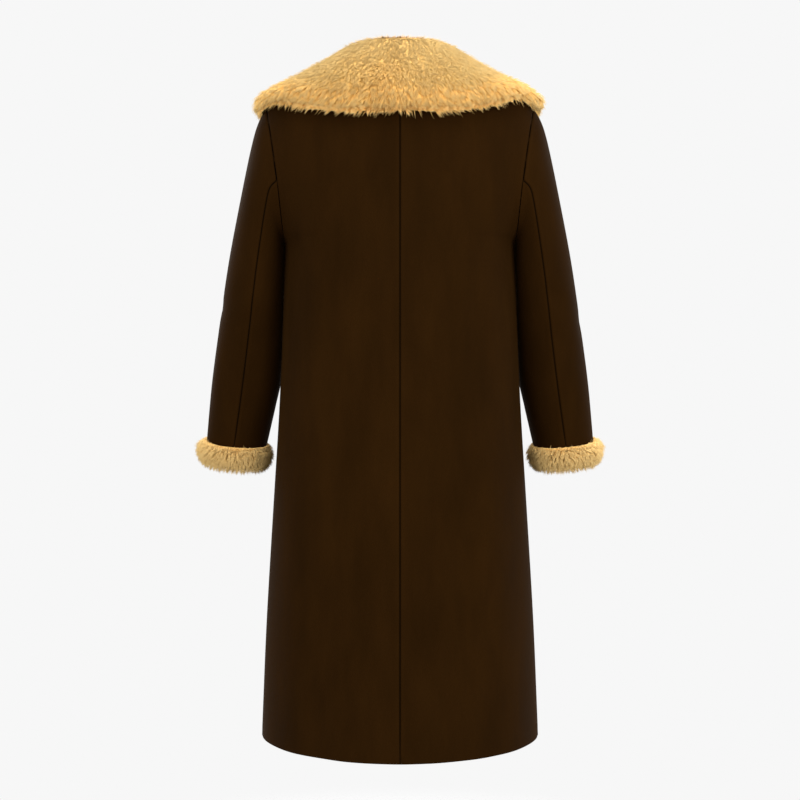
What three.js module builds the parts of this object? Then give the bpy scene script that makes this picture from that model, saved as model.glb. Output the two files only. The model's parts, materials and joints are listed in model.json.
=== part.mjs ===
// A long wool coat with a wide fur collar and fur cuffs, filled out as it is when worn, with nobody in it.
// Millimetres. +Z is up, -Y is the wearer's front and +X the wearer's left.
// The origin is the middle of the neck opening, level with the neck seam, just above the wearer's shoulders.
import * as THREE from "three";

// Cloth and sewing
const CLOTH = 2.6; // thickness of the heavy wool cloth
const GAP = 0.3; // between two pieces where they are sewn
const LAP_LIFT = CLOTH + 0.6; // how far the upper front stands out where it laps over the lower one
const LAP_HALF = 35; // each front's edge reaches this far past the middle
const LAP_EASE = { from: 5, to: 60 }; // beyond the lap, the stretch in which the upper front comes back level

// Neck, shoulders and armholes
const NECK_HALF_WIDTH = 85;
const SHOULDER_HALF_WIDTH = 226;
const SHOULDER_DROP = 64;
const ARMHOLE_HEIGHT = 230;
const UNDERARM_HALF_WIDTH = 196;
const UNDERARM_DROP = SHOULDER_DROP + ARMHOLE_HEIGHT;
// reach is from the side seam's plane, and hollow how far the edge curves in towards the middle
const ARMHOLE = {
  back: { reach: 70, hollow: 5 },
  front: { reach: 62, hollow: 13 },
};
const COAT_LENGTH = 1137; // neck seam to hem, in the middle
// The hem is this much higher at the side seams, eased in from this far below the neck seam
const HEM_RISE = { height: 9, from: 850 };

// Body, from the hem up. side is from the middle to the side seam, and isn't used above the underarm. oval is
// half the width of the rounded section there, back and front are measured from the side seams, and square is
// 2 for an ellipse and more for a boxier section.
const BODY_LEVELS = [
  { z: -COAT_LENGTH, side: 234.5, oval: 234.5, back: 171, front: 154, square: 2.0 },
  { z: -975, side: 227.5, oval: 227.5, back: 159, front: 147, square: 2.05 },
  { z: -770, side: 216, oval: 216, back: 145, front: 139, square: 2.15 },
  { z: -556, side: 204, oval: 204.5, back: 131, front: 131, square: 2.25 },
  { z: -400, side: 198, oval: 201, back: 124, front: 129, square: 2.35 },
  { z: -UNDERARM_DROP, side: UNDERARM_HALF_WIDTH, oval: 210, back: 121, front: 126, square: 2.4 },
  { z: -225, side: UNDERARM_HALF_WIDTH, oval: 224, back: 118, front: 121, square: 2.4 },
  { z: -165, side: UNDERARM_HALF_WIDTH, oval: 236, back: 115, front: 113, square: 2.4 },
  { z: -110, side: UNDERARM_HALF_WIDTH, oval: 239, back: 108, front: 101, square: 2.35 },
  { z: -SHOULDER_DROP, side: UNDERARM_HALF_WIDTH, oval: SHOULDER_HALF_WIDTH, back: 98, front: 84, square: 2.3 },
  { z: 0, side: UNDERARM_HALF_WIDTH, oval: 226, back: 62, front: 40, square: 2.2 },
];
const EDGE_PULL = 5; // the greater, the shorter the stretch in which a panel turns to its side seam or armhole

// Soft upright folds. depth is outward, so a trough is negative. x is towards the wearer's left.
// They ease in over FOLD_EASE.top below their top, and out over FOLD_EASE.bottom above their bottom.
const FOLD_EASE = { top: 120, bottom: 140 };
const FOLDS = [
  { side: "back", x: 172, top: -120, bottom: -330, width: 16, depth: -4.5 },
  { side: "back", x: -183, top: -110, bottom: -430, width: 15, depth: -5.0 },
  { side: "back", x: -160, top: -150, bottom: -470, width: 14, depth: 2.5 },
  { side: "back", x: 105, top: -620, bottom: -1400, width: 34, depth: 3.0 },
  { side: "back", x: -118, top: -560, bottom: -1400, width: 38, depth: 3.5 },
  { side: "front", x: 166, top: -150, bottom: -420, width: 17, depth: -4.5 },
  { side: "front", x: -172, top: -140, bottom: -380, width: 16, depth: -4.0 },
  { side: "front", x: 128, top: -600, bottom: -1400, width: 36, depth: 4.0 },
  { side: "front", x: -112, top: -640, bottom: -1400, width: 34, depth: 3.5 },
];

// The free edge of a front, from the lap at the hem up the V of the neck
const FRONT_EDGE = [
  { z: -COAT_LENGTH, x: -LAP_HALF },
  { z: -430, x: -LAP_HALF },
  { z: -370, x: -LAP_HALF },
  { z: -330, x: -24 },
  { z: -280, x: 2 },
  { z: -180, x: 32 },
  { z: -80, x: 62 },
  { z: 0, x: 83 },
];

// Sleeve rings from the armhole to the cuff, for the wearer's left. Each ring is an oval between an outer and
// an inner point. depth is its half depth, forward how far its middle lies before the side seam, and
// drop how much lower its back is than its middle.
const SLEEVE_RINGS = [
  {
    outX: SHOULDER_HALF_WIDTH, outZ: -SHOULDER_DROP, inX: UNDERARM_HALF_WIDTH, inZ: -UNDERARM_DROP,
    depth: 66, forward: 0, drop: 0,
  },
  { outX: 242, outZ: -93, inX: 197.5, inZ: -301, depth: 69, forward: 2, drop: 0 },
  { outX: 256, outZ: -143, inX: 197.5, inZ: -320, depth: 72, forward: 9, drop: 0 },
  { outX: 274, outZ: -226, inX: 198, inZ: -354, depth: 74, forward: 17, drop: 1 },
  { outX: 294, outZ: -325, inX: 200, inZ: -406, depth: 71, forward: 25, drop: 2 },
  { outX: 310.5, outZ: -430, inX: 204, inZ: -475, depth: 63, forward: 33, drop: 4 },
  { outX: 325.5, outZ: -534, inX: 213, inZ: -556, depth: 54, forward: 40, drop: 6 },
  { outX: 334, outZ: -625, inX: 229, inZ: -634, depth: 46, forward: 47, drop: 8 },
];
const SLEEVE_ROWS = 18;
const ARMHOLE_BLEND = 1 / 6; // share of the sleeve's length in which the armhole's shape fades into the rings
// The sleeve's seams, in degrees round it from its outer line through the back
const FRONT_SEAM = 245;
const BACK_SEAM = { armhole: 100, cuff: 90 };

// Fur collar, one row for each station from the middle of the back round to the front end, for the wearer's
// left. x and z are where it is sewn to the body, toX and toZ the place on the body that its outer edge lies
// over, and the shoulder row runs down the shoulder seam. stand is the height of the fold, off the edge's
// clearance to the cloth, and upright how far the stand is turned from square to the cloth, 0, to plumb, 1.
const COLLAR_STATIONS = [
  { face: "back", x: 0, z: 0, toX: 0, toZ: -103, upright: 1.0, stand: 19, off: 5, fur: 20 },
  { face: "back", x: 45, z: 0, toX: 80, toZ: -104, upright: 0.95, stand: 18, off: 5, fur: 20 },
  { face: "back", x: 70, z: 0, toX: 150, toZ: -97, upright: 0.85, stand: 13, off: 5, fur: 20 },
  { face: "back", x: 82, z: 0, toX: 213, toZ: -91, upright: 0.7, stand: 10, off: 6, fur: 19 },
  { face: "shoulder", x: 85, z: 0, toX: 229, toZ: -84, upright: 0.6, stand: 8, off: 9, fur: 18 },
  { face: "front", x: 79, z: -15, toX: 211, toZ: -90, upright: 0.35, stand: 10, off: 7, fur: 21 },
  { face: "front", x: 69.5, z: -56, toX: 183, toZ: -148, upright: 0.1, stand: 9, off: 6, fur: 21 },
  { face: "front", x: 56, z: -108, toX: 154, toZ: -199, upright: 0, stand: 9, off: 6, fur: 21 },
  { face: "front", x: 40, z: -175, toX: 116, toZ: -246, upright: 0, stand: 8, off: 6, fur: 20 },
  { face: "front", x: 26, z: -238, toX: 78, toZ: -284, upright: 0, stand: 7, off: 6, fur: 17 },
  { face: "front", x: 21, z: -272, toX: 43, toZ: -303, upright: 0, stand: 5, off: 6, fur: 10 },
];
const SHOULDER_STATION = COLLAR_STATIONS.findIndex((row) => row.face === "shoulder");
const COLLAR_STEPS_A_ROW = 2;
const FOOT_LIFT = { plumb: 0.3, square: 3 }; // the collar's foot above the cloth, more where that is curved
const ROLL_RADIUS = 6; // inside the fold where the collar turns over
const ROLL_STEPS = 4;
const ROLL_END = 1.2; // the fold's last angle, in radians from level
const FALL_STEPS = [0.16, 0.3, 0.45, 0.6, 0.75, 0.87, 0.95, 1]; // shares of the way from the seam to the edge
const FALL_EASE = 1.7; // the greater, the sooner the fall comes down on the body
const EDGE_ROUND = 0.82; // share from which the fur rounds down to the edge
const EDGE_FUR = 0.12; // share of the fur's depth that is left at the edge

// Fur cuff, as a section beside the sleeve's end: out from the cloth, and down past its edge
const CUFF_OUTSIDE = [
  { out: 1.2, down: -1 },
  { out: 6, down: -4.5 },
  { out: 12, down: -2 },
  { out: 15, down: 7 },
  { out: 15.5, down: 18 },
  { out: 13.5, down: 31 },
  { out: 8, down: 42 },
  { out: -1, down: 47 },
];
const CUFF_INSIDE = [
  { out: 0.6, down: 0.4 },
  { out: -1.5, down: 0.4 },
  { out: -4, down: 1.5 },
  { out: -6, down: 7 },
  { out: -6.5, down: 16 },
  { out: -6.5, down: 28 },
  { out: -5.5, down: 38 },
  { out: -3, down: 45 },
];
const CUFF_LEAN = 0.2; // the fur is this share fuller on the arm's outer side, and thinner on its inner side
const CUFF_STEPS = 24;

const wool = new THREE.MeshStandardMaterial({ color: "#2e1a09", roughness: 0.92, metalness: 0 });
const fur = new THREE.MeshStandardMaterial({ color: "#d9ab66", roughness: 1, metalness: 0 });

const radians = THREE.MathUtils.degToRad;
const signedPower = (value, power) => Math.sign(value) * Math.abs(value) ** power;
const isBack = (side) => side === "back";

// A smooth curve through a table's rows: give it a value of the column "by" and it gives the other columns.
function track(rows, by, columns) {
  const curve = new THREE.CubicInterpolant(
    rows.map((row) => row[by]),
    rows.flatMap((row) => columns.map((column) => row[column])),
    columns.length,
  );
  return (place) => {
    const found = curve.evaluate(place);
    return Object.fromEntries(columns.map((column, i) => [column, found[i]]));
  };
}

const numbered = (rows) => rows.map((row, at) => ({ ...row, at }));
const bodyAt = track(BODY_LEVELS, "z", ["side", "oval", "back", "front", "square"]);
const frontEdgeAt = track(FRONT_EDGE, "z", ["x"]);

// A point of the armhole's edge. turn is 0 at the shoulder point and 180 degrees under the arm.
function armholePoint(turn, side) {
  const { reach, hollow } = ARMHOLE[side];
  const down = (1 - Math.cos(turn)) / 2;
  return new THREE.Vector3(
    THREE.MathUtils.lerp(SHOULDER_HALF_WIDTH, UNDERARM_HALF_WIDTH, down) - hollow * Math.sin(turn) ** 2,
    (isBack(side) ? reach : -reach) * Math.sin(turn),
    -SHOULDER_DROP - ARMHOLE_HEIGHT * down,
  );
}

// Half width of the rounded section at height z. Over the shoulder it runs in to the neck.
function halfWidth(z) {
  if (z < -SHOULDER_DROP) return bodyAt(z).oval;
  return THREE.MathUtils.lerp(NECK_HALF_WIDTH, SHOULDER_HALF_WIDTH, -z / SHOULDER_DROP);
}

function foldDepth(x, z, side) {
  return FOLDS.filter((fold) => fold.side === side).reduce((sum, fold) => {
    const across = Math.exp(-(((x - fold.x) / fold.width) ** 2));
    const fadeIn = THREE.MathUtils.smoothstep(-z, -fold.top, -fold.top + FOLD_EASE.top);
    const fadeOut = 1 - THREE.MathUtils.smoothstep(-z, -fold.bottom - FOLD_EASE.bottom, -fold.bottom);
    return sum + fold.depth * across * fadeIn * fadeOut;
  }, 0);
}

// A point of the body's outside. turn is 0 in the middle of that side and 90 degrees at the side seam.
function bodyPoint(z, side, turn, mirrored = false) {
  const { square } = bodyAt(z);
  const x = halfWidth(z) * signedPower(Math.sin(turn), 2 / square);
  const depth = bodyAt(z)[side] * Math.max(Math.cos(turn), 0) ** (2 / square);
  const seamFade = THREE.MathUtils.smoothstep(depth, 10, 45);
  const y = depth + seamFade * foldDepth(mirrored ? -x : x, z, side);
  return new THREE.Vector3(x, isBack(side) ? y : -y, z);
}

// The turn at which the section at height z is x wide
function turnAtX(x, z) {
  const { square } = bodyAt(z);
  const share = THREE.MathUtils.clamp(x / halfWidth(z), -1, 1);
  return Math.asin(signedPower(share, square / 2));
}

// One closed solid between two grids of points with the same rows and columns. wrap joins the last column to
// the first.
function solidBetween(outer, inner, wrap = false) {
  const rows = outer.length;
  const columns = outer[0].length;
  const points = [...outer.flat(), ...inner.flat()];
  const outerIndex = (row, column) => row * columns + (column % columns);
  const innerIndex = (row, column) => rows * columns + outerIndex(row, column);
  const index = [];
  const quad = (a, b, c, d) => index.push(a, b, c, a, c, d);
  const lastColumn = wrap ? columns : columns - 1;
  for (let row = 0; row < rows - 1; row++) {
    for (let column = 0; column < lastColumn; column++) {
      const corners = [[row, column], [row, column + 1], [row + 1, column + 1], [row + 1, column]];
      quad(...corners.map(([r, c]) => outerIndex(r, c)));
      quad(...corners.reverse().map(([r, c]) => innerIndex(r, c)));
    }
  }
  const top = rows - 1;
  for (let at = 0; at < lastColumn; at++) {
    quad(outerIndex(0, at + 1), outerIndex(0, at), innerIndex(0, at), innerIndex(0, at + 1));
    quad(outerIndex(top, at), outerIndex(top, at + 1), innerIndex(top, at + 1), innerIndex(top, at));
  }
  for (let row = 0; row < rows - 1 && !wrap; row++) {
    const last = columns - 1;
    quad(outerIndex(row, 0), outerIndex(row + 1, 0), innerIndex(row + 1, 0), innerIndex(row, 0));
    quad(outerIndex(row + 1, last), outerIndex(row, last), innerIndex(row, last), innerIndex(row + 1, last));
  }
  if (signedVolume(points, index) < 0) index.reverse();
  const geometry = new THREE.BufferGeometry().setFromPoints(points).setIndex(index);
  geometry.computeVertexNormals();
  return geometry;
}

function signedVolume(points, index) {
  let sum = 0;
  for (let i = 0; i < index.length; i += 3) {
    const [a, b, c] = [points[index[i]], points[index[i + 1]], points[index[i + 2]]];
    sum += a.dot(b.clone().cross(c)) / 6;
  }
  return sum;
}

// The grid moved one cloth's thickness towards the inside. core gives a point inside the garment for each row.
function insideOf(grid, core, wrap = false) {
  const rows = grid.length;
  const columns = grid[0].length;
  const clamp = (value, top) => Math.min(Math.max(value, 0), top);
  const column = (i) => (wrap ? (i + columns) % columns : clamp(i, columns - 1));
  const normals = grid.map((line, row) =>
    line.map((_, i) => {
      const across = line[column(i + 1)].clone().sub(line[column(i - 1)]);
      const along = grid[clamp(row + 1, rows - 1)][i].clone().sub(grid[clamp(row - 1, rows - 1)][i]);
      return across.cross(along).normalize();
    }),
  );
  const facing = grid.flatMap((line, row) =>
    line.map((point, i) => normals[row][i].dot(point.clone().sub(core(row)))),
  );
  const outward = facing.reduce((sum, value) => sum + value, 0);
  return grid.map((line, row) =>
    line.map((point, i) => point.clone().addScaledVector(normals[row][i], -Math.sign(outward) * CLOTH)),
  );
}

const mirror = (grid) => grid.map((line) => line.map((point) => new THREE.Vector3(-point.x, point.y, point.z)));

// Heights of the body's rows: even steps below the arm, finer beside the armhole, and a few over the shoulder
const PANEL_COLUMNS = { back: 10, front: 11 };
const BODY_STEPS = { below: 15, beside: 12, above: 4 };
const BODY_ROWS = (() => {
  const { below, beside, above } = BODY_STEPS;
  const rows = [];
  for (let i = 0; i < below; i++) {
    rows.push({ z: THREE.MathUtils.lerp(-COAT_LENGTH, -UNDERARM_DROP, i / below), edge: "side" });
  }
  for (let i = 0; i <= beside; i++) {
    const turn = Math.PI * (1 - i / beside);
    const edge = i === 0 ? "side" : i === beside ? "shoulder" : "armhole";
    rows.push({ z: armholePoint(turn, "back").z, turn, edge });
  }
  for (let i = 1; i <= above; i++) {
    rows.push({ z: -SHOULDER_DROP * (1 - i / above), edge: "shoulder" });
  }
  return rows;
})();

// The panel's edge towards the arm: the side seam, the armhole and then the shoulder seam
function panelEdge({ z, turn, edge }, side) {
  if (edge === "armhole") return armholePoint(turn, side);
  const x = edge === "side" ? bodyAt(z).side : halfWidth(z);
  return new THREE.Vector3(x, (isBack(side) ? GAP : -GAP) / 2, z);
}

function hemRise({ x, z }) {
  const { side } = bodyAt(z);
  return HEM_RISE.height * (x / side) ** 2 * THREE.MathUtils.smoothstep(-z, HEM_RISE.from, COAT_LENGTH);
}

// One quarter of the body. startX gives the x of its free or middle edge at each height, and lift moves points
// outward.
function bodyPanel(side, mirrored, startX, lift, columns) {
  const outer = BODY_ROWS.map((row) => {
    const { z } = row;
    const edge = panelEdge(row, side);
    const start = turnAtX(startX(z), z);
    const end = turnAtX(edge.x, z);
    const pull = edge.clone().sub(bodyPoint(z, side, end, mirrored));
    const line = [];
    for (let i = 0; i <= columns; i++) {
      const share = i / columns;
      const point = bodyPoint(z, side, THREE.MathUtils.lerp(start, end, share), mirrored);
      point.addScaledVector(pull, share ** EDGE_PULL);
      point.y += (isBack(side) ? 1 : -1) * lift(point.x);
      point.z += hemRise(point);
      line.push(point);
    }
    return line;
  });
  const inner = insideOf(outer, (row) => new THREE.Vector3(0, 0, BODY_ROWS[row].z));
  inner.forEach((line, row) => {
    if (isBack(side)) line[0].x = outer[row][0].x;
    if (BODY_ROWS[row].edge !== "armhole") line[columns].y = outer[row][columns].y;
  });
  return mirrored ? [mirror(outer), mirror(inner)] : [outer, inner];
}

function backPanel(mirrored) {
  return solidBetween(...bodyPanel("back", mirrored, () => GAP / 2, () => 0, PANEL_COLUMNS.back));
}

// The upper front stands out over the lower one, and comes back level with it beside the lap.
function lapLift(x) {
  return LAP_LIFT * (1 - THREE.MathUtils.smoothstep(x, LAP_HALF + LAP_EASE.from, LAP_HALF + LAP_EASE.to));
}

function frontPanel(mirrored) {
  const lift = mirrored ? lapLift : () => 0;
  return solidBetween(...bodyPanel("front", mirrored, (z) => frontEdgeAt(z).x, lift, PANEL_COLUMNS.front));
}

const RING_COLUMNS = ["outX", "outZ", "inX", "inZ", "depth", "forward", "drop"];
const ringAt = track(numbered(SLEEVE_RINGS), "at", RING_COLUMNS);

// A point of the sleeve's outside, from 0 at the armhole to 1 at the cuff. The first ring is the armhole.
function sleevePoint(share, turn) {
  const ring = ringAt(share * (SLEEVE_RINGS.length - 1));
  const side = Math.sin(turn) >= 0 ? "back" : "front";
  const armholeShare = Math.max(0, 1 - share / ARMHOLE_BLEND);
  const hollow = ARMHOLE[side].hollow * Math.sin(turn) ** 2 * armholeShare ** 2;
  const reach = THREE.MathUtils.lerp(ring.depth, ARMHOLE[side].reach, armholeShare);
  const forward = THREE.MathUtils.lerp(ring.forward, 0, armholeShare);
  const along = (1 + Math.cos(turn)) / 2;
  return new THREE.Vector3(
    THREE.MathUtils.lerp(ring.inX, ring.outX, along) - hollow + GAP,
    reach * Math.sin(turn) - forward,
    THREE.MathUtils.lerp(ring.inZ, ring.outZ, along) - ring.drop * Math.sin(turn),
  );
}

// A sleeve's two pieces: the upper one from the front seam over the arm to the back seam, and the under one
function sleevePieces(hand) {
  const upperColumns = 13;
  const underColumns = 10;
  const outer = [];
  for (let row = 0; row <= SLEEVE_ROWS; row++) {
    const share = row / SLEEVE_ROWS;
    const backSeam = THREE.MathUtils.lerp(BACK_SEAM.armhole, BACK_SEAM.cuff, share);
    const line = [];
    for (let i = 0; i < upperColumns; i++) {
      const turn = THREE.MathUtils.lerp(FRONT_SEAM - 360, backSeam, i / upperColumns);
      line.push(sleevePoint(share, radians(turn)));
    }
    for (let i = 0; i < underColumns; i++) {
      const turn = THREE.MathUtils.lerp(backSeam, FRONT_SEAM, i / underColumns);
      line.push(sleevePoint(share, radians(turn)));
    }
    outer.push(line);
  }
  const middle = (share) => sleevePoint(share, 0).lerp(sleevePoint(share, Math.PI), 0.5);
  const inner = insideOf(outer, (row) => middle(row / SLEEVE_ROWS), true);
  inner[0].forEach((point, i) => (point.x = outer[0][i].x));
  const slice = (grid, from, count) =>
    grid.map((line) => {
      const cut = [];
      for (let i = 0; i <= count; i++) cut.push(line[(from + i) % line.length].clone());
      moveTowards(cut[0], cut[1], GAP / 2);
      moveTowards(cut[count], cut[count - 1], GAP / 2);
      return cut;
    });
  const strip = (from, count) => {
    const grids = [slice(outer, from, count), slice(inner, from, count)];
    return solidBetween(...(hand === "right" ? grids.map(mirror) : grids));
  };
  return { upper: strip(0, upperColumns), under: strip(upperColumns, underColumns) };
}

function moveTowards(point, goal, distance) {
  point.addScaledVector(goal.clone().sub(point).normalize(), distance);
}

// The fur cuff is a ring of one section, square to the sleeve's end and in line with its cloth.
function cuff(hand) {
  const end = (turn) => sleevePoint(1, turn);
  const middle = end(0).lerp(end(Math.PI), 0.5);
  const across = end(0).sub(end(Math.PI));
  const downward = across.cross(end(Math.PI / 2).sub(end(-Math.PI / 2))).normalize();
  if (downward.z > 0) downward.negate();
  const place = ({ out, down }, turn) => {
    const tangent = end(turn + 0.01).sub(end(turn - 0.01));
    const outward = tangent.cross(downward).normalize();
    if (outward.dot(end(turn).sub(middle)) < 0) outward.negate();
    const fuller = out > 0 ? 1 + CUFF_LEAN * Math.cos(turn) : 1;
    return end(turn).addScaledVector(outward, out * fuller).addScaledVector(downward, down);
  };
  const turns = Array.from({ length: CUFF_STEPS }, (_, i) => (2 * Math.PI * i) / CUFF_STEPS);
  const ring = (at) => turns.map((turn) => place(at, turn));
  const grids = [CUFF_OUTSIDE.map(ring), CUFF_INSIDE.map(ring)];
  return solidBetween(...(hand === "right" ? grids.map(mirror) : grids), true);
}

// Body places are measured round from the middle of the back: 90 degrees at the seams and 180 in front.
function roundTurn(face, x, z) {
  if (face === "shoulder") return Math.PI / 2;
  return face === "back" ? turnAtX(x, z) : Math.PI - turnAtX(x, z);
}

function bodyRound(turn, z, mirrored) {
  const side = turn <= Math.PI / 2 ? "back" : "front";
  const point = bodyPoint(z, side, isBack(side) ? turn : Math.PI - turn);
  if (mirrored && !isBack(side)) point.y -= lapLift(point.x);
  return point;
}

function bodyNormal(turn, z) {
  const step = 0.02;
  const around = bodyRound(turn + step, z).sub(bodyRound(turn - step, z));
  const up = bodyRound(turn, Math.min(z + 2, 0)).sub(bodyRound(turn, z - 2));
  return up.cross(around).normalize();
}

const collarAt = track(
  numbered(COLLAR_STATIONS).map((row) => ({
    ...row,
    toTurn: roundTurn(row.face, row.toX, row.toZ),
  })),
  "at",
  ["x", "z", "toTurn", "toZ", "upright", "stand", "off", "fur"],
);

// The collar's section at one station, as pairs of points: on the backing, and on the fur's tips over it.
// It stands up from the neck seam, turns over and falls on the body.
function collarSection(at, mirrored) {
  const s = collarAt(at);
  const { lerp } = THREE.MathUtils;
  const seamZ = Math.min(s.z, 0);
  const seamTurn = roundTurn(at <= SHOULDER_STATION ? "back" : "front", s.x, seamZ);
  const seam = bodyRound(seamTurn, seamZ, mirrored);
  const edge = bodyRound(s.toTurn, s.toZ, mirrored);
  const up = bodyNormal(seamTurn, seamZ).lerp(new THREE.Vector3(0, 0, 1), s.upright).normalize();
  const edgeFacing = bodyNormal(s.toTurn, s.toZ);
  const chord = edge.clone().sub(seam);
  const out = chord.clone().addScaledVector(up, -chord.dot(up)).normalize();
  const place = (a, b) => seam.clone().addScaledVector(out, a).addScaledVector(up, b);
  const footLift = lerp(FOOT_LIFT.square, FOOT_LIFT.plumb, s.upright);
  const path = [
    { backing: place(0, footLift), facing: place(-0.8, 0.6).sub(seam), furShare: 0.3 },
    { backing: place(0, 0.55 * s.stand), facing: out.clone().negate(), furShare: 0.8 },
  ];
  for (let i = 0; i <= ROLL_STEPS; i++) {
    const angle = lerp(Math.PI, ROLL_END, i / ROLL_STEPS);
    const [a, b] = [Math.cos(angle), Math.sin(angle)];
    path.push({
      backing: place(ROLL_RADIUS * (1 + a), s.stand + ROLL_RADIUS * b),
      facing: place(a, b).sub(seam),
      furShare: 0.9,
    });
  }
  const top = s.stand + ROLL_RADIUS;
  const fallStart = path.length;
  for (const share of FALL_STEPS) {
    const turn = lerp(seamTurn, s.toTurn, share);
    const z = lerp(seamZ, s.toZ, share);
    const facing = up.clone().lerp(edgeFacing, Math.sqrt(share)).normalize();
    const height = s.off + (top - s.off) * (1 - share) ** FALL_EASE;
    const nearEdge = Math.max(0, (share - EDGE_ROUND) / (1 - EDGE_ROUND));
    path.push({
      backing: bodyRound(turn, z, mirrored).addScaledVector(facing, height),
      facing,
      furShare: Math.sqrt(1 - (1 - EDGE_FUR ** 2) * nearEdge ** 2),
    });
  }
  return path.map(({ backing, facing, furShare }, i) => {
    if (i >= fallStart) {
      const next = path[Math.min(i + 1, path.length - 1)].backing;
      const along = next.clone().sub(path[i - 1].backing).normalize();
      facing.addScaledVector(along, -facing.dot(along)).normalize();
    }
    return { backing, tips: backing.clone().addScaledVector(facing, furShare * s.fur) };
  });
}

function collar() {
  const last = (COLLAR_STATIONS.length - 1) * COLLAR_STEPS_A_ROW;
  const stations = [];
  for (let i = -last; i <= last; i++) {
    const section = collarSection(Math.abs(i) / COLLAR_STEPS_A_ROW, i < 0);
    const flip = (point) => new THREE.Vector3(i < 0 ? -point.x : point.x, point.y, point.z);
    stations.push(section.map(({ backing, tips }) => ({ backing: flip(backing), tips: flip(tips) })));
  }
  return solidBetween(
    stations.map((section) => section.map(({ tips }) => tips)),
    stations.map((section) => section.map(({ backing }) => backing)),
  );
}

function piece(name, geometry, material) {
  const mesh = new THREE.Mesh(geometry, material.clone());
  mesh.name = name;
  return mesh;
}

const coat = new THREE.Group();
coat.add(piece("back_left", backPanel(false), wool));
coat.add(piece("back_right", backPanel(true), wool));
coat.add(piece("front_left", frontPanel(false), wool));
coat.add(piece("front_right", frontPanel(true), wool));
for (const hand of ["left", "right"]) {
  const { upper, under } = sleevePieces(hand);
  coat.add(piece(`sleeve_${hand}_upper`, upper, wool));
  coat.add(piece(`sleeve_${hand}_under`, under, wool));
  coat.add(piece(`cuff_${hand}`, cuff(hand), fur));
}
coat.add(piece("collar", collar(), fur));

export default coat;
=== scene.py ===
# %% [markdown]
# # A long wool coat with a wide fur collar and fur cuffs
#
# The coat is filled out as if somebody wore it, but nobody is inside. It is sewn from eight pieces of wool
# cloth: two backs, two fronts, and an upper and an under piece for each sleeve. A fur collar lies over the
# shoulders and a fur band ends each sleeve. The solids that the coat was built from are loaded first and
# never moved. Each one is then replaced by a finer piece that keeps its place and its form.

# %% Load the coat's solids
import json
import math

import bmesh
import bpy
import numpy as np
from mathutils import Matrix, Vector, kdtree, noise
from mathutils.bvhtree import BVHTree

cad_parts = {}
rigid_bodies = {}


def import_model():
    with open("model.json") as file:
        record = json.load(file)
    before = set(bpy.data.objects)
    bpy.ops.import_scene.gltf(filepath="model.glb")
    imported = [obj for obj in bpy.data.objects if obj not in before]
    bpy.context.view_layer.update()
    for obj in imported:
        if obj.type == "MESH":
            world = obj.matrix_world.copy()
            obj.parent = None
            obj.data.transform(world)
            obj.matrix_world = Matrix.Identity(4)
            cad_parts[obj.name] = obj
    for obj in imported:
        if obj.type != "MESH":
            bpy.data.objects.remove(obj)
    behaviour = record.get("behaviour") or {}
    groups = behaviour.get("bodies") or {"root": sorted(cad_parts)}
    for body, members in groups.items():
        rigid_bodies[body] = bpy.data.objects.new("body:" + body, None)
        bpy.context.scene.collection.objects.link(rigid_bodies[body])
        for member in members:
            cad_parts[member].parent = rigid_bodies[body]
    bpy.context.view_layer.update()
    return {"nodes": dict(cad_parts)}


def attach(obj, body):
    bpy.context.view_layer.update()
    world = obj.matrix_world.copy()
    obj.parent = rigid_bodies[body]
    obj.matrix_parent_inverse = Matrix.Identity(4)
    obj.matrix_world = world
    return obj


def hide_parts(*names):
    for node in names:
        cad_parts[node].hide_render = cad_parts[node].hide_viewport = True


for leftover in list(bpy.data.objects):
    bpy.data.objects.remove(leftover)
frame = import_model()

# %% [markdown]
# ## Camera, light and floor
#
# The coat is seen straight from behind, from 2.4 m away and level with its middle. The camera is made
# first, because everything after it is judged through it. The backdrop is the world itself, a soft
# near-white that lights the coat evenly from all sides, like a tent of white cloth. Three large area
# lights give the cloth its direction: a strong one on the coat's right, a weaker one on its left and one
# from above. Two more stand on the other side, so the front is lit as well.

# %% Camera
CAMERA_DISTANCE = 2.4
CAMERA_HEIGHT = -0.561
FRAME_WIDTH = 1.36  # metres that the camera sees across, at the coat
SENSOR_WIDTH = 36

camera_data = bpy.data.cameras.new("camera")
camera_data.sensor_width = SENSOR_WIDTH
camera_data.lens = SENSOR_WIDTH * CAMERA_DISTANCE / FRAME_WIDTH
camera = bpy.data.objects.new("camera", camera_data)
camera.location = (0, CAMERA_DISTANCE, CAMERA_HEIGHT)
camera.rotation_euler = (math.radians(90), 0, math.radians(180))
bpy.context.collection.objects.link(camera)
bpy.context.scene.camera = camera
print("lens:", round(camera_data.lens, 1), "mm")

# %% World
BACKDROP = 0.93
world = bpy.data.worlds.new("light_tent")
world.use_nodes = True
world.node_tree.nodes["Background"].inputs["Color"].default_value = (BACKDROP, BACKDROP, BACKDROP, 1)
bpy.context.scene.world = world
bpy.context.scene.view_settings.view_transform = "Standard"
print("backdrop:", BACKDROP)

# %% Lights
COAT_MIDDLE = Vector((0, 0, CAMERA_HEIGHT))
# place, size in metres, power in watts
SOFTBOXES = {
    "back_right": ((-2.4, 1.8, 0.3), 1.6, 60),
    "back_left": ((1.5, 2.5, -0.1), 1.6, 36),
    "top": ((0.0, 0.9, 1.9), 1.4, 43),
    "front_left": ((2.0, -2.2, 0.4), 1.6, 30),
    "front_right": ((-2.2, -1.8, 0.0), 1.6, 14),
}
for name, (place, size, power) in SOFTBOXES.items():
    light = bpy.data.lights.new(name, "AREA")
    light.size = size
    light.energy = power
    softbox = bpy.data.objects.new(name, light)
    softbox.location = place
    softbox.rotation_euler = (COAT_MIDDLE - Vector(place)).to_track_quat("-Z", "Y").to_euler()
    bpy.context.collection.objects.link(softbox)
print("softboxes:", len(SOFTBOXES))

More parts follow.
